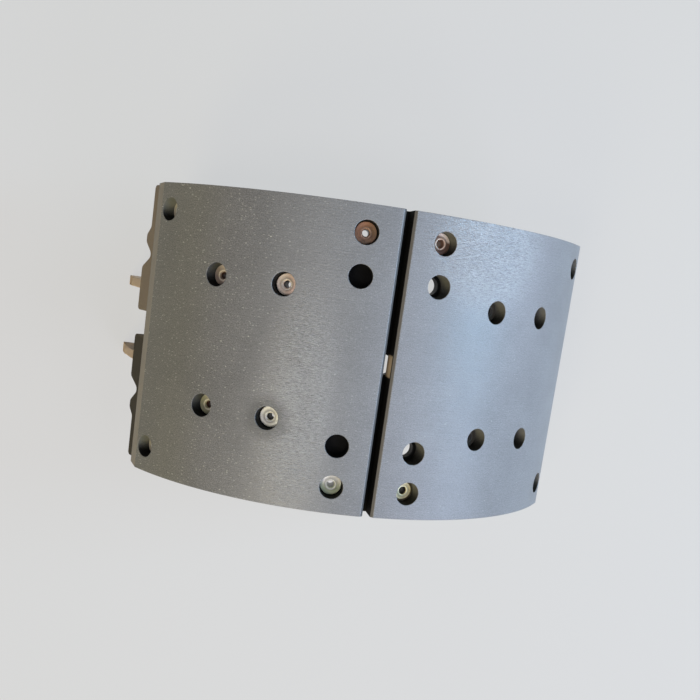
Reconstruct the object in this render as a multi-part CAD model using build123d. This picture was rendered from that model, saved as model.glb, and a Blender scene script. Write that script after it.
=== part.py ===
"""Drum brake shoe for a heavy vehicle: a cast shoe with two webs, two riveted lining blocks,
their tubular rivets and the pin that the return spring hooks on.

The shoe stands on the toes of its webs, with the linings on top. The drum's axis runs along Y,
the crown of the shoe points along +Z, the anchor end is at -X and the cam end at +X. The origin
is on the floor, midway between the toes and midway across the lining. Lengths are millimetres
and angles are degrees, measured at the drum's axis from the crown, positive towards the cam end.
"""
from build123d import *
from math import asin, atan2, cos, degrees, radians, sin, sqrt, tan
import os

# Drum and linings
drum_radius = 210.0          # working surface of the linings
lining_width = 220.0         # across the drum
lining_thickness = 16.0
block_gap = 5.6              # between the two blocks, below their chamfers
gap_chamfer = 2.0            # on the working edges that face the gap
lining_end_angle = 58.5      # foot of each block's outer end
taper_length = 18.5          # run-out at each block's outer end, along its slope
taper_angle = 23.0           # slope of the run-out

# Rivet pattern, the same on both blocks
column_pitch = 14.4          # angle between neighbouring columns of holes
first_column = 7.8           # angle of the column next to the gap
edge_inset = 19.5            # rows of the first and last columns, from the lining's side
middle_row = 47.8            # rows of the two columns between them
spare_row = 60.3             # rows of the open holes beside the gap

# Holes and rivets
counterbore_radius = 8.5
counterbore_depth = 10.9
shank_radius = 4.0
shank_clearance = 0.15       # radial, in the lining and in the table
head_clearance = 0.7            # round the head in its counterbore
head_height = 1.5            # at the middle of the head
head_edge_height = 0.9
bore_radius = 2.9
bore_lip_height = 0.3        # ring round the mouth of the bore
bore_lip_width = 0.9
clinch_radius = 5.8          # rolled end below the table
clinch_height = 1.6

# Shoe table
table_thickness = 7.0
table_edge_reach = 22.5      # beyond the foot of the lining, at the table's two edges
tongue_reach = 31.0          # tongue that runs out along each web
tongue_shelf = 10.7          # from the web's outer face to the tongue's outer side
waist_reach = 19.5           # shallow waist outside each tongue
waist_width = 4.0
waist_step = 10.0            # from the tongue's outer side to the middle of the waist
ear_reach = 28.0             # small ear between the waist and the table's edge
ear_width = 6.0
ear_slope = 6.0
ear_step = 13.0              # from the middle of the waist to the middle of the ear
notch_width = 20.0           # between the two tongues
notch_reach = 12.0
tongue_corner = 3.0
table_corner = 4.0
gap_hole_radius = 7.5        # opening in the table under the gap
spare_hole_radius = 6.5      # open table holes, in the cam end block only
spot_face_radius = 7.8
spot_face_depth = 0.3

# Webs
web_thickness = 8.0
web_row = 30.3               # middle of each web, from mid-width
web_depth = 51.0             # below the table
web_fillet = 5.0
web_edge_round = 1.5
toe_setback = 15.0           # outermost point of each toe, inside the drum's surface
toe_drop = 3.0               # soles of the toes below the drum's axis
toe_back_height = 30.0       # a point half way up each toe's back, above the axis
toe_back_setback = 5.2       # that point, inside the outermost one
toe_inner_step = 7.0         # inner end of the sole, beyond the web's inner edge
toe_shoulder_height = 44.0   # where a toe's front meets the web's inner edge

# Seats in the toes
anchor_seat_radius = 16.0
roller_seat_radius = 12.5
seat_setback = 43.5          # middle of both seats, inside the drum's surface

# Cross ribs, which tie the webs together under the table
cross_rib_angle = 43.8
cross_rib_thickness = 7.0
cross_rib_depth = 22.0

# Spring pin and spring holes
spring_pin_radius = 6.0
spring_pin_overhang = 9.0    # beyond each web
spring_pin_chamfer = 1.0
spring_axis_depth = 27.0     # of the pin and of the spring holes, below the table
spring_axis_angle = 72.0
spring_hole_radius = 6.0

# Worked out from the sizes above
table_radius = drum_radius - lining_thickness
underside_radius = table_radius - table_thickness
web_inner_radius = underside_radius - web_depth
table_width = lining_width   # the table is flush with the linings
edge_row = lining_width / 2 - edge_inset
head_radius = counterbore_radius - head_clearance
tongue_outer_row = web_row + web_thickness / 2 + tongue_shelf
waist_row = tongue_outer_row + waist_step
ear_row = waist_row + ear_step
toe_reach = drum_radius - toe_setback
toe_back_reach = toe_reach - toe_back_setback
toe_inner_reach = web_inner_radius + toe_inner_step
seat_reach = drum_radius - seat_setback
spring_axis_radius = underside_radius - spring_axis_depth
block_foot_angle = degrees(asin(block_gap / 2 / drum_radius))
counterbore_floor = drum_radius - counterbore_depth
spot_face_floor = underside_radius + spot_face_depth
columns = [first_column + i * column_pitch for i in range(4)]
rivet_places = list(zip(columns, (edge_row, middle_row, middle_row, edge_row)))
rows = (1, -1)
anchor_end = -1
cam_end = 1
axis_height = toe_drop       # the drum's axis above the floor
drum_axis = Axis((0, 0, axis_height), (0, 1, 0))
margin = 1.0                 # by which cutting tools overrun the material
through_table = (underside_radius - margin, table_radius + margin)


def polar(radius, angle, row=0.0):
    """The point at a radius and angle about the drum's axis."""
    return Vector(radius * sin(radians(angle)), row, axis_height + radius * cos(radians(angle)))


def radial_plane(radius, angle, row=0.0):
    """A plane square to the radius at an angle: z points outwards and y along the drum's axis."""
    outwards = (sin(radians(angle)), 0, cos(radians(angle)))
    along = (cos(radians(angle)), 0, -sin(radians(angle)))
    return Plane(origin=polar(radius, angle, row), x_dir=along, z_dir=outwards)


def arc(radius, start, end):
    """The arc about the drum's axis from one angle to another, at mid-width."""
    return ThreePointArc(polar(radius, start), polar(radius, (start + end) / 2), polar(radius, end))


def radial_hole(radius, angle, row, inner, outer):
    """A round cutter along a radius, between two distances from the drum's axis."""
    cutter = Cylinder(radius, outer - inner, align=(Align.CENTER, Align.CENTER, Align.MIN))
    return radial_plane(inner, angle, row) * cutter


# --- linings ---------------------------------------------------------------------------------

def lining_block(end):
    """One block: an arc of constant thickness with a chamfer at the gap, a run-out at its outer
    end, a counterbored hole for each rivet and two open holes."""
    foot = end * block_foot_angle
    chamfer_angle = foot + end * degrees(gap_chamfer / drum_radius)
    outer_foot = end * lining_end_angle
    # The run-out starts on the working surface and falls away at taper_angle from its tangent.
    fall = taper_length * sin(radians(taper_angle))
    run = taper_length * cos(radians(taper_angle))
    taper_start = outer_foot - end * degrees(asin(run / (drum_radius - fall)))
    start = polar(drum_radius, taper_start)
    slope = taper_start + end * (90 + taper_angle)
    run_out = start + Vector(sin(radians(slope)), 0, cos(radians(slope))) * taper_length
    run_out_angle = degrees(atan2(run_out.X, run_out.Z - axis_height))
    outline = Wire([
        Line(polar(table_radius, foot), polar(drum_radius - gap_chamfer, foot)),
        Line(polar(drum_radius - gap_chamfer, foot), polar(drum_radius, chamfer_angle)),
        arc(drum_radius, chamfer_angle, taper_start),
        Line(start, run_out),
        Line(run_out, polar(table_radius, run_out_angle)),
        arc(table_radius, run_out_angle, foot),
    ])
    block = extrude(Face(outline), lining_width / 2, dir=(0, 1, 0), both=True)
    for column, row in rivet_places:
        for side in rows:
            place = (end * column, side * row)
            block -= radial_hole(counterbore_radius, *place, counterbore_floor, drum_radius + margin)
            block -= radial_hole(shank_radius + shank_clearance, *place, table_radius - margin, drum_radius)
    for side in rows:
        block -= radial_hole(counterbore_radius, end * columns[0], side * spare_row,
                             table_radius - margin, drum_radius + margin)
    return block


# --- cast shoe -------------------------------------------------------------------------------

def shoe_arc():
    """The curved part: a table with two webs below it, one section turned about the drum's axis."""
    table = Rectangle(table_width, table_thickness, align=(Align.CENTER, Align.MIN))
    section = Pos(0, underside_radius) * table
    for side in rows:
        web = Rectangle(web_thickness, web_depth + margin, align=(Align.CENTER, Align.MIN))
        section += Pos(side * web_row, web_inner_radius) * web
    section = Sketch() + section.faces()
    underside = [v for v in section.vertices() if abs(v.Y - underside_radius) < margin]
    roots = [v for v in underside if abs(v.X) < table_width / 2 - margin]
    section = fillet(roots, web_fillet)
    inner_edges = [v for v in section.vertices() if abs(v.Y - web_inner_radius) < margin]
    section = fillet(inner_edges, web_edge_round)
    upright = Plane(origin=(0, 0, axis_height), x_dir=(0, 1, 0), z_dir=(1, 0, 0))
    first_end = (upright * section).rotate(drum_axis, -lining_end_angle)
    return revolve(first_end, drum_axis, 2 * lining_end_angle)


def web_root(plane, side):
    """The filleted foot of one web along the straight end of the table."""
    width = web_thickness + 2 * web_fillet
    drop = table_thickness + web_fillet
    foot = Rectangle(width, web_fillet + margin, align=(Align.CENTER, Align.MIN))
    for flank in (-width / 2, width / 2):
        foot -= Pos(flank, 0) * Circle(web_fillet)
    across = Plane(origin=plane.origin, x_dir=(0, 1, 0), z_dir=Vector(0, 1, 0).cross(plane.z_dir))
    return extrude(across * Pos(side * web_row, -drop) * foot, tongue_reach - 2 * margin, dir=plane.x_dir)


def table_end(end):
    """The straight end of the table: a tongue along each web with a notch between them, then a
    waist, an ear and the square edge on either side."""
    half = table_width / 2
    side = [
        (table_edge_reach, half),
        (table_edge_reach, ear_row + ear_width / 2 + ear_slope),
        (ear_reach, ear_row + ear_width / 2),
        (ear_reach, ear_row - ear_width / 2),
        (waist_reach, waist_row + waist_width / 2),
        (waist_reach, waist_row - waist_width / 2),
        (tongue_reach, tongue_outer_row),
        (tongue_reach, notch_width / 2),
        (notch_reach, notch_width / 2),
    ]
    mirrored = [(u, -v) for u, v in reversed(side)]
    plate = make_face(Polyline((0, half), *side, *mirrored, (0, -half), close=True))

    def corners_at(places):
        """The plate's corners, on both sides, that stand at the given places."""
        return [v for v in plate.vertices()
                if any(abs(v.X - u) + abs(abs(v.Y) - w) < margin for u, w in places)]

    inner_turn = atan2(tongue_reach - waist_reach, waist_row - waist_width / 2 - tongue_outer_row)
    outer_turn = atan2(ear_reach - waist_reach, ear_row - ear_width / 2 - waist_row - waist_width / 2)
    waist_room = 0.99 * waist_width / (tan(inner_turn / 2) + tan(outer_turn / 2))
    plate = fillet(corners_at([side[0]] + side[7:]), tongue_corner)
    plate = fillet(corners_at(side[1:4] + side[6:7]), table_corner)
    plate = fillet(corners_at(side[4:6]), min(table_corner, waist_room))
    plane = radial_plane(table_radius, end * lining_end_angle)
    if end < 0:
        plane = Plane(origin=plane.origin, x_dir=-plane.x_dir, z_dir=plane.z_dir)
    ends = extrude(plane * plate, table_thickness, dir=-plane.z_dir)
    for web_side in rows:
        ends += web_root(plane, web_side)
    return ends


def toe(end, seat_radius):
    """One web's toe: from the curved web down to a flat sole with a half-round seat in it."""
    root_angle = end * (lining_end_angle - 2)
    root = polar(underside_radius + margin, root_angle)
    foot = polar(underside_radius + margin, end * lining_end_angle)
    downwards = Vector(end * cos(radians(lining_end_angle)), 0, -sin(radians(lining_end_angle)))
    knuckle = foot + downwards * (tongue_reach - 2 * margin)
    back = (end * toe_back_reach, 0, toe_back_height + axis_height)
    sole_outer = (end * toe_reach, 0, 0)
    sole_inner = (end * toe_inner_reach, 0, 0)
    shoulder = end * sqrt(web_inner_radius ** 2 - toe_shoulder_height ** 2)
    shoulder_angle = degrees(atan2(shoulder, toe_shoulder_height))
    outline = Wire([
        Line(polar(web_inner_radius, root_angle), root),
        Line(root, knuckle),
        ThreePointArc(knuckle, back, sole_outer),
        Line(sole_outer, sole_inner),
        Line(sole_inner, polar(web_inner_radius, shoulder_angle)),
        arc(web_inner_radius, shoulder_angle, root_angle),
    ])
    blank = extrude(Face(outline), web_thickness / 2, dir=(0, 1, 0), both=True)
    seat = Rot(90, 0, 0) * Cylinder(seat_radius, web_thickness + 2 * margin)
    return blank - Pos(end * seat_reach, 0, 0) * seat


def cross_rib(end):
    """A rib below the table that ties the two webs together."""
    rib = Box(cross_rib_thickness, 2 * web_row, cross_rib_depth + margin,
              align=(Align.CENTER, Align.CENTER, Align.MIN))
    return radial_plane(underside_radius - cross_rib_depth, end * cross_rib_angle) * rib


def shoe_casting():
    """The whole casting, with its rivet holes, open holes and spring holes."""
    body = shoe_arc()
    for end, seat_radius in ((anchor_end, anchor_seat_radius), (cam_end, roller_seat_radius)):
        body += table_end(end)
        for side in rows:
            body += Pos(0, side * web_row, 0) * toe(end, seat_radius)
        body += cross_rib(end)
    for end in (anchor_end, cam_end):
        for column, row in rivet_places:
            for side in rows:
                place = (end * column, side * row)
                body -= radial_hole(shank_radius + shank_clearance, *place, *through_table)
                body -= radial_hole(spot_face_radius, *place, underside_radius - 3 * margin, spot_face_floor)
    for side in rows:
        body -= radial_hole(spare_hole_radius, cam_end * columns[0], side * spare_row, *through_table)
    body -= radial_hole(gap_hole_radius, 0, 0, *through_table)
    spring_holes = Rot(90, 0, 0) * Cylinder(spring_hole_radius, 2 * (web_row + web_thickness))
    body -= Pos(polar(spring_axis_radius, anchor_end * spring_axis_angle)) * spring_holes
    pin_holes = Rot(90, 0, 0) * Cylinder(spring_pin_radius, 2 * (web_row + web_thickness))
    body -= Pos(polar(spring_axis_radius, cam_end * spring_axis_angle)) * pin_holes
    return body


# --- rivets and pin --------------------------------------------------------------------------

def rivet():
    """A tubular rivet on its own axis: the head's underside is at z = 0 and the shank runs down
    through the lining and the table to a rolled end."""
    grip = counterbore_floor - spot_face_floor
    tail = -(grip + clinch_height)
    lip = bore_radius + bore_lip_width
    head = [
        (bore_radius, head_height),
        (lip, head_height + bore_lip_height),
        (lip + bore_lip_height, head_height),
        (head_radius, head_edge_height),
        (head_radius, 0),
    ]
    shank = [
        (shank_radius, 0),
        (shank_radius, -grip),
        (clinch_radius, -grip),
        (clinch_radius - clinch_height / 2, tail),
        (bore_radius, tail),
    ]
    half = make_face(Polyline(*head, *shank, close=True))
    return revolve(Plane.XZ * half, Axis.Z)


def spring_pin():
    """The cross pin, chamfered at both ends and pressed through the two webs."""
    length = 2 * (web_row + web_thickness / 2 + spring_pin_overhang)
    pin = Cylinder(spring_pin_radius, length)
    pin = chamfer(pin.edges().filter_by(GeomType.CIRCLE), spring_pin_chamfer)
    return Pos(polar(spring_axis_radius, cam_end * spring_axis_angle)) * Rot(90, 0, 0) * pin


def main():
    os.makedirs("parts", exist_ok=True)
    parts = {
        "shoe_casting": shoe_casting(),
        "anchor_end_lining": lining_block(anchor_end),
        "cam_end_lining": lining_block(cam_end),
        "return_spring_pin": spring_pin(),
    }
    blank = rivet()
    for name, end in (("anchor_end", anchor_end), ("cam_end", cam_end)):
        number = 0
        for column, row in rivet_places:
            for side in rows:
                number += 1
                seat = radial_plane(counterbore_floor, end * column, side * row)
                parts[f"{name}_rivet_{number}"] = seat * blank
    for node, solid in parts.items():
        export_step(solid, f"parts/{node}.step")
        print(node, round(solid.volume))


main()
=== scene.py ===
"""Looks for a heavy-vehicle drum brake shoe: ground linings, painted casting, tubular rivets.

Everything is in metres in the row frame: the drum's axis runs along Y at a height of AXIS, the
crown is at +Z, the anchor end at -X and the cam end at +X.
"""
from math import radians
import bmesh
import bpy
import numpy as np
from mathutils import Matrix


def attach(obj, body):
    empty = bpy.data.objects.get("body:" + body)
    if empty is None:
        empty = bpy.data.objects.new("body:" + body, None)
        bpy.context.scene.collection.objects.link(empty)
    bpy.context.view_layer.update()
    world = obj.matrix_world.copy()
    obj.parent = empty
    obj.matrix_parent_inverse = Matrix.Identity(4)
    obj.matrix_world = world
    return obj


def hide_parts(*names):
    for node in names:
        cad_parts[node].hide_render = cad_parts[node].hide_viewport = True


AXIS = 0.003                 # the drum's axis above the floor
DRUM = 0.210                 # radius of the linings' working face
TABLE = 0.193                # radius just inside the face of the table that the linings cover
SEAT = 0.1991                # radius at which the rivets' heads sit
SPOT_FACE = 0.1873           # radius of the spot faces that the rivets' rolled ends sit on
HEAD = 0.0078                # radius of a rivet's head
SIDE = 0.110                 # the linings' sides, from mid-width
RUN_OUT = 53.7               # angle from the crown at which the linings' run-outs start
COLUMNS = (7.8, 22.2, 36.6, 51.0)            # angles of the rivets from the crown, by column
ROWS = (0.0905, 0.0478, 0.0478, 0.0905)      # their places from mid-width, by column
CREASE = 32                  # angle in degrees above which an edge is sharp
CAST_EDGE = 0.0012           # widths of the bevels on the casting, the linings and the pin
LINING_EDGE = 0.0004
PIN_EDGE = 0.0003
TURNS = 48                   # facets round a rivet
FLOOR = 4.0                  # half the floor's side
LAMPS_AIM = (0, 0, 0.12)     # the point that the lamps face

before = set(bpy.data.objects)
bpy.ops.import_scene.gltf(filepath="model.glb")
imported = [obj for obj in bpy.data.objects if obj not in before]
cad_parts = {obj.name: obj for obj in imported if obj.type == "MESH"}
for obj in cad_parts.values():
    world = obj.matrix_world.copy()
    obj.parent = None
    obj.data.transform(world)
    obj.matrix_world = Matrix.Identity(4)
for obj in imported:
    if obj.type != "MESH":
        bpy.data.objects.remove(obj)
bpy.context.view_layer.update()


# --- shader graphs ---------------------------------------------------------------------------

class Value:
    """One output of a node. Sums, differences, products and quotients of values add the nodes
    that work them out."""

    def __init__(self, graph, socket):
        self.graph = graph
        self.socket = socket

    def _math(self, operation, *terms):
        wide = any(isinstance(t, Value) and t.socket.type in ("VECTOR", "RGBA") for t in terms)
        if wide:
            terms = [(t, t, t) if isinstance(t, (int, float)) else t for t in terms]
        kind = "VectorMath" if wide else "Math"
        return self.graph.add(kind, {"operation": operation}, dict(enumerate(terms)))

    def __add__(self, other): return self._math("ADD", self, other)
    def __radd__(self, other): return self._math("ADD", other, self)
    def __sub__(self, other): return self._math("SUBTRACT", self, other)
    def __rsub__(self, other): return self._math("SUBTRACT", other, self)
    def __mul__(self, other): return self._math("MULTIPLY", self, other)
    def __rmul__(self, other): return self._math("MULTIPLY", other, self)
    def __truediv__(self, other): return self._math("DIVIDE", self, other)
    def __rtruediv__(self, other): return self._math("DIVIDE", other, self)
    def __pow__(self, other): return self._math("POWER", self, other)
    def sqrt(self): return self._math("SQRT", self)
    def abs(self): return self._math("ABSOLUTE", self)
    def atan2(self, other): return self._math("ARCTAN2", self, other)

    def step(self, low, high):
        """0 below low, 1 above high and a smooth rise between them; falls if low is the larger."""
        inputs = {"Value": self, "From Min": low, "From Max": high}
        return self.graph.add("MapRange", {"interpolation_type": "SMOOTHSTEP"}, inputs)


class Graph:
    """The node tree of one material, or of the world."""

    def __init__(self, name, kind="materials"):
        self.owner = getattr(bpy.data, kind).new(name)
        self.owner.use_nodes = True
        self.tree = self.owner.node_tree
        self.tree.nodes.clear()

    def add(self, kind, settings=None, inputs=None, output=0):
        """Adds a node: its settings first, then a value or a link for each input."""
        node = self.tree.nodes.new("ShaderNode" + kind)
        for key, value in (settings or {}).items():
            setattr(node, key, value)
        for key, value in (inputs or {}).items():
            if isinstance(value, Value):
                self.tree.links.new(value.socket, node.inputs[key])
            else:
                node.inputs[key].default_value = value
        return Value(self, node.outputs[output]) if node.outputs else None

    def mix(self, factor, first, second):
        """A colour between two colours."""
        return self.add("Mix", {"data_type": "RGBA"}, {0: factor, 6: first, 7: second}, output=2)

    def vector(self, x, y, z):
        return self.add("CombineXYZ", None, {"X": x, "Y": y, "Z": z})

    def attribute(self, name):
        """A number that the mesh carries."""
        return self.add("Attribute", {"attribute_name": name}, output="Fac")

    def position(self):
        """Object coordinates and their three parts."""
        point = self.add("TexCoord", output="Object")
        return point, *[self.add("SeparateXYZ", None, {0: point}, output=i) for i in range(3)]

    def about_axis(self):
        """Object coordinates, then Y, then the angle from the crown and the distance from the
        drum's axis."""
        point, x, y, z = self.position()
        height = z - AXIS
        return point, y, x.atan2(height), (x * x + height * height).sqrt()

    def noise(self, point, scale, detail=2.0, roughness=0.5):
        inputs = {"Vector": point, "Scale": scale, "Detail": detail, "Roughness": roughness}
        return self.add("TexNoise", None, inputs)

    def noise_colour(self, point, scale):
        inputs = {"Vector": point, "Scale": scale, "Detail": 1.0}
        return self.add("TexNoise", None, inputs, output="Color")

    def dots(self, point, scale, inner, outer, rarity):
        """Small round spots, in the cells whose own random number is above rarity; the spots that
        only just pass are faint."""
        cell = {"Vector": point, "Scale": scale}
        distance = self.add("TexVoronoi", None, cell)
        colour = self.add("TexVoronoi", None, cell, output="Color")
        chance = self.add("SeparateColor", None, {0: colour})
        return distance.step(outer, inner) * chance.step(rarity, 1.0)

    def bump(self, height, distance):
        return self.add("Bump", None, {"Strength": 1.0, "Distance": distance, "Height": height})

    def seen(self):
        """1 for what the camera sees directly, in a reflection or through glass, otherwise 0."""
        rays = ("Is Camera Ray", "Is Glossy Ray", "Is Transmission Ray")
        camera, glossy, through = [self.add("LightPath", output=ray) for ray in rays]
        return camera + glossy + through

    def finish(self, inputs):
        """Ends the tree with a Principled BSDF and returns the material."""
        shader = self.add("BsdfPrincipled", None, inputs)
        self.add("OutputMaterial", None, {"Surface": shader})
        return self.owner


def rgb(red, green, blue):
    """A colour from 0 to 255 as screens show it, as the linear values that shaders take."""
    share = np.array((red, green, blue)) / 255
    linear = np.where(share <= 0.04045, share / 12.92, ((share + 0.055) / 1.055) ** 2.4)
    return (*linear.tolist(), 1.0)


PALE = rgb(221, 221, 220)    # the backdrop


# --- materials -------------------------------------------------------------------------------

def lining_material(name, speckled, worn_and_sheen, sheen_gain, stain=None):
    """Ground friction lining, on the coordinates (arc from the crown, Y, radius): short fine
    scratches round the drum, grain, pale fibres and chips that gather towards the anchor end, a
    patch (its middle and half sizes along the arc and Y) that is worn smoother, shows its
    scratches more and is made lighter by a painted sheen, a painted warm shade towards the
    anchor end's far edge, and a dark stain round one point where there is one."""
    g = Graph(name)
    point, y, angle, radius = g.about_axis()
    arc = angle * DRUM
    skin = g.vector(arc, y, radius)
    bent = skin + (g.noise_colour(skin, 300.0) - 0.5) * 0.0010

    dashes = g.noise(bent * (330.0, 1800.0, 330.0), 1.0, 2.0, 0.6)
    lines = g.noise(skin * (14.0, 900.0, 14.0), 1.0, 2.0, 0.5)
    grain = g.noise(skin, 1300.0, 2.0, 0.6)
    mottle = g.noise(skin, 26.0, 4.0, 0.6)
    across, up, half_across, half_up = worn_and_sheen
    away = (((arc - across) / half_across) ** 2 + ((y - up) / half_up) ** 2).sqrt()
    worn_sheen_patch = (away + (mottle - 0.5) * 0.8).step(1.15, 0.35)
    coarse = arc.step(-0.085, -0.125) * 1.2 + 1.4
    tone = 1.0 + (dashes - 0.5) * (worn_sheen_patch * 1.1 + 0.6) + (grain - 0.5) * coarse
    tone = tone + (lines - 0.5) * 0.15 + (mottle - 0.5) * 0.22
    # Painted sheen: the base is lighter over the worn patch, where the lamps' sheen falls.
    tone = tone * (1.0 + worn_sheen_patch * sheen_gain)

    drawn_out = bent * (0.6, 1.3, 1.0)
    fibres = g.dots(drawn_out, 520.0, 0.05, 0.32, 1 - speckled)
    chips = g.dots(drawn_out, 230.0, 0.04, 0.13, 1.06 - speckled)
    speck = (fibres * 0.6 + chips) * (arc.step(-0.030, -0.130) * 0.9 + 0.45)

    base = g.mix(mottle, rgb(118, 118, 116), rgb(134, 134, 132)) * tone
    # Painted warm shade: the colour darkens and warms towards the anchor end's far edge.
    base = g.mix(arc.step(-0.120, -0.165), base, base * (0.92, 0.91, 0.80))
    base = g.mix(speck * 0.75, base, rgb(232, 232, 218))
    if stain is not None:
        ends = {0: point, 1: stain}
        spread = g.add("VectorMath", {"operation": "DISTANCE"}, ends, output="Value")
        base = g.mix(spread.step(0.021, 0.008) * 0.55, base, rgb(52, 52, 50))
    rough = 0.40 - worn_sheen_patch * 0.06 + (grain - 0.5) * 0.2 + (dashes - 0.5) * 0.2
    relief = (dashes + grain * 0.4) * (worn_sheen_patch * 1.3 + 0.35) + lines * 0.3 + speck * 0.2
    shade = {"Base Color": base, "Roughness": rough, "Specular IOR Level": 0.7}
    return g.finish({**shade, "Normal": g.bump(relief, 0.00030)})


def wall_material(name, upper, upper_far, lower, edge):
    """The lining's sides, holes and end faces, moulded and dull. A hole's wall is of the upper
    colour where it faces -Y, or of the far one by the anchor end, and of the lower one where it
    faces +Y: painted light where it faces the lamps and painted shade where it faces away. The
    sides are brown, the run-out is pale with a darker foot, and the faces in the gap are black
    as painted shade but for a painted pool of light beside the hole there, with the edge's
    colour on their chamfers."""
    g = Graph(name)
    point, y, angle, radius = g.about_axis()
    facing = g.attribute("facing")
    grain = g.noise(point, 700.0, 3.0, 0.6)
    # Painted light and shade on the hole walls: lighter where they face -Y and by the anchor end,
    # dark where they face +Y.
    upper = g.mix(angle.step(radians(-30), radians(-50)), upper, upper_far)
    shade = g.mix((facing + (grain - 0.5) * 0.3).step(0.7, -0.5), lower, upper)
    side = g.mix(grain, rgb(60, 57, 50), rgb(96, 90, 78))
    shade = g.mix(y.abs().step(SIDE - 0.0010, SIDE - 0.0006), shade, side)
    run_out = angle.abs().step(radians(RUN_OUT - 0.1), radians(RUN_OUT + 0.1))
    slope = g.mix(grain, rgb(152, 149, 142), rgb(188, 183, 174))
    foot = g.mix(grain, rgb(108, 102, 94), rgb(142, 136, 126))
    slope = g.mix(radius.step(DRUM - 0.0075, DRUM - 0.0060), foot, slope)
    shade = g.mix(run_out, shade, slope)
    # Painted shade and light in the gap: the end faces are black as shade, with a painted pool of
    # light beside the hole in the table.
    beside = y.abs().step(0.0086, 0.0070) * radius.step(DRUM - 0.0024, DRUM - 0.0040)
    gap_shade_and_light = g.mix(beside, rgb(10, 10, 9), rgb(206, 188, 162))
    chamfer = g.mix(radius.step(DRUM - 0.0019, DRUM - 0.0016), gap_shade_and_light, edge)
    shade = g.mix((angle * DRUM).abs().step(0.0054, 0.0050), shade, chamfer)
    rough = 0.75 + (grain - 0.5) * 0.3
    surface = {"Base Color": shade, "Roughness": rough, "Specular IOR Level": 0.15}
    return g.finish({**surface, "Normal": g.bump(grain, 0.0003)})


def paint_material(name):
    """Black paint on rough cast iron: deep black under the linings as painted shade, greyer with
    road dirt low down, brown with dust on the table's ends, most at the anchor end and darker
    on the -Y half, and pale on the edges and the outer sides of the anchor end's toes."""
    g = Graph(name)
    point, x, y, z = g.position()
    height = z - AXIS
    radius = (x * x + height * height).sqrt()
    cast = g.noise(point, 420.0, 4.0, 0.6)
    cloud = g.noise(point, 22.0, 3.0)
    base = g.mix(cloud, rgb(16, 15, 14), rgb(34, 31, 27))
    base = g.mix(cast.step(0.60, 0.75) * 0.3, base, rgb(60, 50, 40))
    # Painted shade: the table is deep black where the linings cover it, seen only down their holes
    # and gap.
    covered = radius.step(TABLE - 0.0005, TABLE + 0.0002)
    base = g.mix(covered, base, rgb(7, 7, 6))
    anchor = x.step(-0.02, -0.10)
    road = (z + (cloud - 0.5) * 0.08).step(0.100, 0.020) * 0.4
    base = g.mix(road, base, rgb(96, 88, 76))
    dust = (z + (cloud - 0.5) * 0.02).step(0.112, 0.100)
    dust = dust * (anchor * 0.75 + 0.25) * radius.step(0.176, 0.186)
    light_dust = g.mix(cloud, rgb(140, 130, 118), rgb(170, 158, 142))
    dark_dust = g.mix(cloud, rgb(66, 64, 58), rgb(92, 88, 80))
    dark_half = (y + (cloud - 0.5) * 0.01).step(-0.002, -0.012)
    base = g.mix(dust, base, g.mix(dark_half, light_dust, dark_dust))
    facing = g.attribute("facing")
    pale_toes = (z + (cloud - 0.5) * 0.012).step(0.078, 0.068) * radius.step(0.150, 0.168) * anchor
    edge = (facing * facing + (cloud - 0.5) * 0.3).step(0.8, 0.4)
    outer = (radius + (cloud - 0.5) * 0.012).step(0.176, 0.190)
    pale_toes = pale_toes * (1 - (1 - edge) * (1 - outer))
    base = g.mix(pale_toes, base, g.mix(cloud, rgb(196, 170, 140), rgb(248, 226, 196)))
    rough = 0.46 + (cloud - 0.5) * 0.3 + dust * 0.15 + covered * 0.3
    shade = {"Base Color": base, "Roughness": rough, "Specular IOR Level": 0.25}
    return g.finish({**shade, "Normal": g.bump(cast, 0.0004)})


def rivet_material(name, near, far, lip, bore, metal=0.0, turn=(-0.45, 0.45), rim=None,
                   rough=0.42):
    """Plated steel gone dull: the flange runs from one colour to another across the rivet,
    between the two places of the turn, as painted light and shade, and the ring round the bore,
    the bore itself and, where it is given, the rim have colours of their own; the ring's is a
    painted highlight and the rim's a painted shadow of the hole's edge."""
    g = Graph(name)
    point, *_ = g.position()
    stain = g.noise(point, 480.0, 3.0)
    ring = g.attribute("ring")
    across = g.attribute("across")
    # Painted light and shade across the flange, a painted highlight on the lip and a painted
    # shadow on the rim.
    base = g.mix((across + (stain - 0.5) * 0.3).step(*turn), near, far)
    base = g.mix(ring.step(0.6, 1.0), base, lip)
    if rim is not None:
        base = g.mix(ring.step(0.20, 0.32), rim, base)
    base = g.mix(stain.step(0.50, 0.90) * 0.35, base, rgb(70, 56, 44))
    base = g.mix(ring.step(-0.2, -0.8), base, bore)
    shade = {"Base Color": base, "Metallic": metal, "Roughness": rough + (stain - 0.5) * 0.3}
    return g.finish({**shade, "Normal": g.bump(stain, 0.00006)})


def steel_material(name):
    """Oiled round bar, with faint turning marks."""
    g = Graph(name)
    point, x, y, z = g.position()
    turned = g.noise(g.vector(x * 30, y * 2500, z * 30), 1.0)
    cloud = g.noise(point, 60.0)
    base = g.mix(cloud, rgb(96, 92, 88), rgb(140, 136, 130))
    shade = {"Base Color": base, "Metallic": 0.9, "Roughness": 0.3 + cloud * 0.2}
    return g.finish({**shade, "Normal": g.bump(turned, 0.00005)})


# --- pieces ----------------------------------------------------------------------------------

def show(mesh, name, material):
    """Puts a mesh in the scene as a piece of the one body."""
    mesh.materials.clear()
    mesh.materials.append(material)
    piece = bpy.data.objects.new(name, mesh)
    bpy.context.scene.collection.objects.link(piece)
    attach(piece, "root")
    return piece


def read(items, key, width=3, kind=float):
    """One property of all items as an array, with a row for each item."""
    values = np.empty(len(items) * width, kind)
    items.foreach_get(key, values)
    return values.reshape(-1, width)


def from_axis(points):
    """The offset of each point from the drum's axis, square to it."""
    return points * (1, 0, 1) - (0, 0, AXIS)


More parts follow.
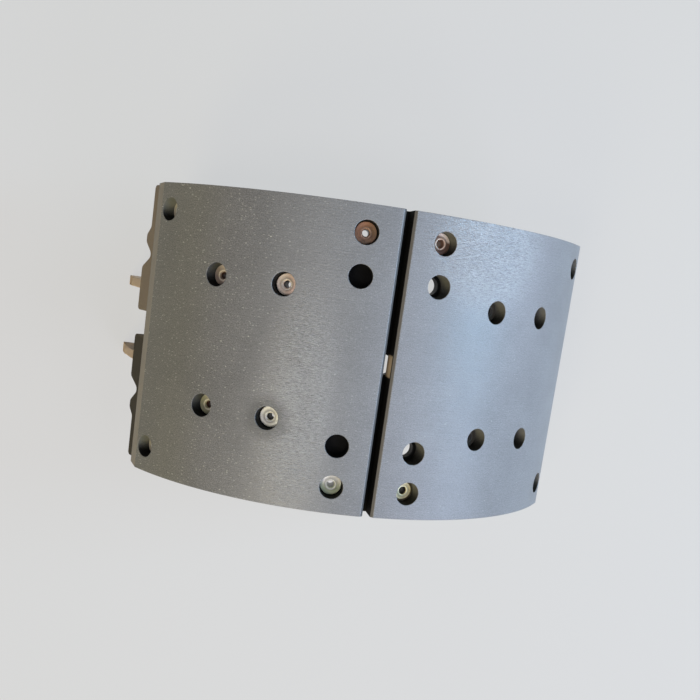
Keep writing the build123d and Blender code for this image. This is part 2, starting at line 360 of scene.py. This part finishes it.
def merged(mesh, flatten, shortest, reach):
    """Joins a CAD mesh's loose triangles, and flat ones into whole faces where that is wanted.
    The edges sharper than CREASE stay sharp, and those that are no shorter than the shortest and
    lie within reach of the drum's axis are marked for the bevel."""
    work = bmesh.new()
    work.from_mesh(mesh)
    bmesh.ops.remove_doubles(work, verts=work.verts, dist=2e-6)
    if flatten:
        flat = radians(0.05)
        bmesh.ops.dissolve_limit(work, angle_limit=flat, verts=work.verts, edges=work.edges)
    weight = work.edges.layers.float.new("bevel_weight_edge")
    for edge in work.edges:
        middle = (edge.verts[0].co + edge.verts[1].co) / 2
        near = middle.x ** 2 + (middle.z - AXIS) ** 2 < reach ** 2
        edge.smooth = edge.calc_face_angle(0) < radians(CREASE)
        edge[weight] = float(near and not edge.smooth and edge.calc_length() >= shortest)
    for face in work.faces:
        face.smooth = True
    work.to_mesh(mesh)
    work.free()


def bevelled(mesh, name, width):
    """A new mesh whose marked edges are rounded over the width, with faces that stay flat."""
    blank = bpy.data.objects.new(name + "_blank", mesh)
    bpy.context.scene.collection.objects.link(blank)
    bevel = blank.modifiers.new("edges", "BEVEL")
    bevel.width = width
    bevel.segments = 2
    bevel.limit_method = "WEIGHT"
    bevel.use_clamp_overlap = False
    bevel.loop_slide = False
    bevel.harden_normals = True
    finished = blank.evaluated_get(bpy.context.evaluated_depsgraph_get())
    solid = bpy.data.meshes.new_from_object(finished)
    bpy.data.objects.remove(blank)
    solid.name = name
    return solid


def true_normals(mesh):
    """Sets the normals of every face that lies on one cylinder about the drum's axis to the
    cylinder's own: each corner's offset from the axis over its length, with the face's sign."""
    vertex = read(mesh.loops, "vertex_index", 1, np.int32).ravel()
    start = read(mesh.polygons, "loop_start", 1, np.int32).ravel()
    owner = np.repeat(np.arange(len(start)), np.diff(np.append(start, len(vertex))))
    normal = read(mesh.corner_normals, "vector")
    offset = from_axis(read(mesh.vertices, "co")[vertex])
    radius = np.linalg.norm(offset, axis=1)
    spread = np.maximum.reduceat(radius, start) - np.minimum.reduceat(radius, start)
    outward = offset / radius[:, None]
    along = (outward * read(mesh.polygons, "normal")[owner]).sum(1)
    on_cylinder = (spread < 2e-5)[owner] & (np.abs(along) > 0.97)
    normal[on_cylinder] = (outward * np.sign(along)[:, None])[on_cylinder]
    mesh.normals_split_custom_set(normal.tolist())


def softened(node, name, material, width, wall=None, shortest=0.0, reach=1.0):
    """A copy of a CAD node with its edges broken by a small bevel, which light runs over without
    a stop. Each face carries the Y part of its normal as the attribute facing. Faces off the
    working surface take the wall's material, where there is one."""
    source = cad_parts[node]
    mesh = source.data.copy()
    mesh.transform(source.matrix_world)
    merged(mesh, wall is not None, shortest, reach)
    solid = bevelled(mesh, name, width)
    true_normals(solid)
    piece = show(solid, name, material)
    facing = solid.attributes.new("facing", "FLOAT", "FACE")
    facing.data.foreach_set("value", read(solid.polygons, "normal")[:, 1].astype(np.float32))
    if wall is not None:
        solid.materials.append(wall)
        radius = np.linalg.norm(from_axis(read(solid.polygons, "center")), axis=1)
        below = radius < DRUM - 0.0005
        solid.polygons.foreach_set("material_index", below.astype(np.int32))
    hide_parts(node)
    return piece


def rivet_profile():
    """Half section of a rivet as (radius, height above the head's underside, share of the ring's
    colour), passed anticlockwise: the shank and the head's rim, a flange whose height is a
    constant, a share of the way in and a share of its fourth power, the collar round the bore's
    mouth, the bore, and an arc for the rolled tail. The collar is one arc in two parts: its top,
    passed inwards as a thin lip, and then the hollow under the lip."""
    grip = SEAT - SPOT_FACE
    rim = [(0.0040, -grip, 0.0), (0.0040, 0.0, 0.0), (HEAD - 0.0001, 0.0, 0.0)]
    rim += [(HEAD, 0.0001, 0.0), (HEAD, 0.00064, 0.0), (HEAD - 0.00006, 0.00076, 0.0)]
    flange = [
        (0.00762 - 0.0035 * t, 0.00082 + 0.00022 * t + 0.00050 * t ** 4, 0.8 * t)
        for t in np.linspace(0, 1, 9)
    ]
    over = np.radians(np.linspace(115, -80, 12))
    arc = [(0.00345 + 0.00062 * np.cos(a), 0.00128 + 0.00055 * np.sin(a), 1.0) for a in over]
    top = 5                  # the points of the arc that lie on the lip
    collar = arc[:top][::-1] + arc[top:]
    bore = [(0.00262, 0.00060, -0.2), (0.00250, -0.0001, -1.0)]
    bore += [(0.00244, -0.0020, -1.0), (0.00244, -grip - 0.0002, -1.0)]
    curl = np.radians(np.linspace(200, -60, 12))
    tail = [(0.0046 + 0.00110 * np.cos(a), -grip - 0.0008 - 0.0008 * np.sin(a), 0.3) for a in curl]
    return np.array(rim + flange + collar + bore + tail)


def rivet(name, end, index, side, finish, node):
    """A surface of revolution with its faces outwards: each point of the half section is carried
    round the rivet's axis, which lies on a radius of the drum. How far a point lies across the
    flange, from -1 to 1 in the finish's own direction, goes with it, and the material paints
    light and shade by it."""
    material, direction = finish
    profile = rivet_profile()
    theta = np.linspace(0, 2 * np.pi, TURNS, endpoint=False)
    angle = radians(end * COLUMNS[index])
    out = np.array((np.sin(angle), 0, np.cos(angle)))
    along = np.array((np.cos(angle), 0, -np.sin(angle)))
    across = np.array((0, 1, 0))
    centre = out * SEAT + np.array((0, side * ROWS[index], AXIS))
    circle = along * np.cos(theta)[:, None] + across * np.sin(theta)[:, None]
    points = centre + profile[:, None, 0:1] * circle + profile[:, None, 1:2] * out
    i, j = np.meshgrid(np.arange(len(profile)), np.arange(TURNS), indexing="ij")
    following = (i + 1) % len(profile) * TURNS
    beside = (j + 1) % TURNS
    quads = (i * TURNS + j, i * TURNS + beside, following + beside, following + j)
    mesh = bpy.data.meshes.new(name)
    mesh.from_pydata(points.reshape(-1, 3), [], np.stack(quads, -1).reshape(-1, 4).tolist())
    ring = np.repeat(profile[:, 2], TURNS)
    share = profile[:, 0:1] / HEAD * np.cos(theta - radians(direction))
    for key, values in (("ring", ring), ("across", share.ravel())):
        carried = mesh.attributes.new(key, "FLOAT", "POINT")
        carried.data.foreach_set("value", values.astype(np.float32))
    mesh.polygons.foreach_set("use_smooth", np.ones(len(mesh.polygons), bool))
    mesh.update()
    piece = show(mesh, name, material)
    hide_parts(node)
    return piece


stained = radians(COLUMNS[1])
stain = (-DRUM * np.sin(stained), -ROWS[1], AXIS + DRUM * np.cos(stained))
# Painted light and shade for the anchor end's hole walls: a dim and a lit colour of one moulded
# wall, near black where they face +Y.
dim_wall = rgb(34, 34, 31)
lit_wall = rgb(140, 143, 136)
face = lining_material("lining_anchor", 0.75, (-0.062, -0.034, 0.032, 0.090), 0.42, stain)
wall = wall_material("wall_anchor", dim_wall, lit_wall, rgb(8, 8, 7), rgb(94, 93, 90))
softened("anchor_end_lining", "lining_anchor", face, LINING_EDGE, wall)
face = lining_material("lining_cam", 0.22, (0.070, 0.090, 0.056, 0.050), 0.62)
# Painted light and shade for the cam end's hole walls: grey where they face -Y, dark where they
# face +Y.
grey = rgb(122, 122, 114)
wall = wall_material("wall_cam", grey, grey, rgb(44, 43, 38), rgb(130, 128, 124))
softened("cam_end_lining", "lining_cam", face, LINING_EDGE, wall)
paint = paint_material("casting_paint")
inside = TABLE - 0.0005      # the table's upper edges, under the linings, stay sharp
softened("shoe_casting", "casting", paint, CAST_EDGE, None, 0.001, inside)
softened("return_spring_pin", "spring_pin", steel_material("pin_steel"), PIN_EDGE)

dark_bore = rgb(44, 36, 30)
rusted = rgb(150, 104, 72)
# The rivets' colours are partly their own plating and tarnish and partly painted light and shade,
# as bright or dark as each sits in its hole.
copper = rivet_material(
    "rivet_copper", rgb(192, 144, 114), rgb(172, 140, 116), rgb(186, 156, 136), dark_bore, 0.15)
# Silver's pale bore is painted light in the bore.
silver = rivet_material(
    "rivet_silver", rgb(218, 230, 192), rgb(242, 242, 238), rgb(248, 250, 242),
    rgb(176, 176, 172), 0.3)
pink = rivet_material(
    "rivet_pink", rgb(255, 240, 224), rgb(234, 208, 192), rgb(255, 248, 236), dark_bore, 0.35,
    rough=0.52)
# Cream's near-white flange is painted bright light.
cream = rivet_material(
    "rivet_cream", rgb(255, 255, 246), rgb(255, 255, 240), rgb(255, 255, 250), dark_bore, 0.55,
    rough=0.58)
brown = rivet_material(
    "rivet_brown", rgb(164, 150, 140), rgb(232, 220, 206), rgb(255, 246, 232), rgb(96, 66, 50))
olive = rivet_material(
    "rivet_olive", rgb(166, 168, 142), rgb(212, 210, 186), rgb(255, 252, 234), rgb(104, 70, 50))
# Umber's pale far side is a painted glint.
umber = rivet_material(
    "rivet_umber", rgb(126, 98, 80), rgb(255, 240, 226), rgb(255, 226, 200), rusted, 0.2,
    (0.45, 0.75))
# Yellow's bright flange is painted light and its dark rim a painted shadow of the hole's edge.
yellow = rivet_material(
    "rivet_yellow", rgb(255, 242, 190), rgb(255, 250, 214), rgb(255, 250, 214), dark_bore, 0.5,
    rim=rgb(92, 82, 54), rough=0.5)
# Tan is a painted highlight, on the flanges deep in the end holes.
tan = rivet_material(
    "rivet_tan", rgb(248, 248, 240), rgb(214, 208, 190), rgb(255, 255, 250), dark_bore)
# Dark is painted shade, for the rivets that sit unlit in their holes.
dark = rivet_material(
    "rivet_dark", rgb(60, 56, 48), rgb(70, 66, 56), rgb(68, 64, 54), rgb(50, 46, 40))
# By end, column and side: the material, and in degrees the direction in which its painted light
# and shade change. Where no finish is listed, the rivet takes the dark one, painted shade.
finishes = {
    (-1, 0, 1): (copper, -30),
    (-1, 0, -1): (silver, 90),
    (-1, 1, 1): (pink, 0),
    (-1, 1, -1): (cream, -20),
    (-1, 2, 1): (brown, 30),
    (-1, 2, -1): (olive, 40),
    (-1, 3, 1): (tan, 180),
    (-1, 3, -1): (tan, 180),
    (1, 0, 1): (umber, 62),
    (1, 0, -1): (yellow, 140),
}
for end, word in ((-1, "anchor_end"), (1, "cam_end")):
    places = [(index, side) for index in range(4) for side in (1, -1)]
    for number, (index, side) in enumerate(places, 1):
        finish = finishes.get((end, index, side), (dark, 0))
        rivet(f"rivet_{word}_{number}", end, index, side, finish, f"{word}_rivet_{number}")


# --- floor, light and camera -----------------------------------------------------------------

def floor():
    """A plain pale floor. It shows the backdrop's tone nearly all over, with a faint shadow, and
    nothing at all from below."""
    mesh = bpy.data.meshes.new("floor")
    corners = [(-FLOOR, -FLOOR, 0), (FLOOR, -FLOOR, 0), (FLOOR, FLOOR, 0), (-FLOOR, FLOOR, 0)]
    mesh.from_pydata(corners, [], [(0, 1, 2, 3)])
    g = Graph("floor")
    diffuse = g.add("BsdfDiffuse", None, {"Color": (0.64, 0.62, 0.58, 1)})
    glow = g.add("Emission", None, {"Color": PALE, "Strength": 1.0})
    top = g.add("MixShader", None, {0: g.seen() * 0.78, 1: diffuse, 2: glow})
    clear = g.add("BsdfTransparent")
    below = g.add("NewGeometry", output="Backfacing")
    surface = g.add("MixShader", None, {0: below, 1: top, 2: clear})
    g.add("OutputMaterial", None, {"Surface": surface})
    mesh.materials.append(g.owner)
    piece = bpy.data.objects.new("floor", mesh)
    bpy.context.scene.collection.objects.link(piece)


def placed(x, y, z, origin):
    """The matrix that turns an object's axes to three directions and moves it to a place."""
    return Matrix((*zip(x, y, z, origin), (0, 0, 0, 1)))


def area_light(name, place, size, power, colour):
    """A square softbox that faces the shoe, not seen by the camera itself."""
    data = bpy.data.lights.new(name, "AREA")
    data.shape = "SQUARE"
    data.size = size
    data.energy = power
    data.color = colour
    lamp = bpy.data.objects.new(name, data)
    lamp.visible_camera = False
    back = np.array(place) - LAMPS_AIM
    back /= np.linalg.norm(back)
    side = np.cross((0, 1, 0.01), back)
    side /= np.linalg.norm(side)
    lamp.matrix_world = placed(side, np.cross(back, side), back, place)
    bpy.context.scene.collection.objects.link(lamp)


floor()
area_light("left_front", (-0.677, -1.015, 1.304), 0.5, 7.6, (1.0, 0.85, 0.45))
area_light("sheen", (-0.697, -0.340, 1.633), 0.35, 5.6, (1.0, 0.90, 0.84))
area_light("front", (0.852, -1.023, 1.177), 0.5, 7.5, (0.70, 0.72, 1.0))
area_light("low_right", (1.658, 0.239, 0.410), 0.6, 4.0, (0.70, 0.75, 1.0))
area_light("window", (1.343, 0.269, 1.127), 0.5, 17.2, (0.365, 0.673, 1.0))
area_light("window_front", (1.338, -0.502, 1.040), 0.5, 6.3, (0.64, 0.74, 1.0))
area_light("far_side", (0.15, 1.70, 0.14), 0.6, 7.0, (0.96, 0.98, 1.0))
area_light("near_side", (-0.15, -1.70, 0.14), 0.6, 2.5, (1.0, 0.98, 0.95))
area_light("top_right", (0.678, 0.0, 1.679), 0.9, 9.1, (0.705, 0.767, 1.0))

studio = Graph("studio", "worlds")
dim = studio.add("Background", None, {"Color": (0.80, 0.84, 0.88, 1), "Strength": 0.03})
pale = studio.add("Background", None, {"Color": PALE, "Strength": 1.0})
backdrop = studio.add("MixShader", None, {0: studio.seen(), 1: dim, 2: pale})
studio.add("OutputWorld", None, {"Surface": backdrop})
bpy.context.scene.world = studio.owner

camera_data = bpy.data.cameras.new("camera")
camera_data.lens = 42.39
camera_data.sensor_width = 36.0
camera_data.shift_x = 0.0221
camera_data.shift_y = 0.0643
camera = bpy.data.objects.new("camera", camera_data)
eye = (-0.1466, 0.0566, 0.7735)
right = np.array((0.9754, 0.1360, 0.1736))
ahead = np.array((0.1923, -0.1390, -0.9715))
camera.matrix_world = placed(right, np.cross(right, ahead), -ahead, eye)
bpy.context.scene.collection.objects.link(camera)
bpy.context.scene.camera = camera
bpy.context.scene.view_settings.view_transform = "Standard"
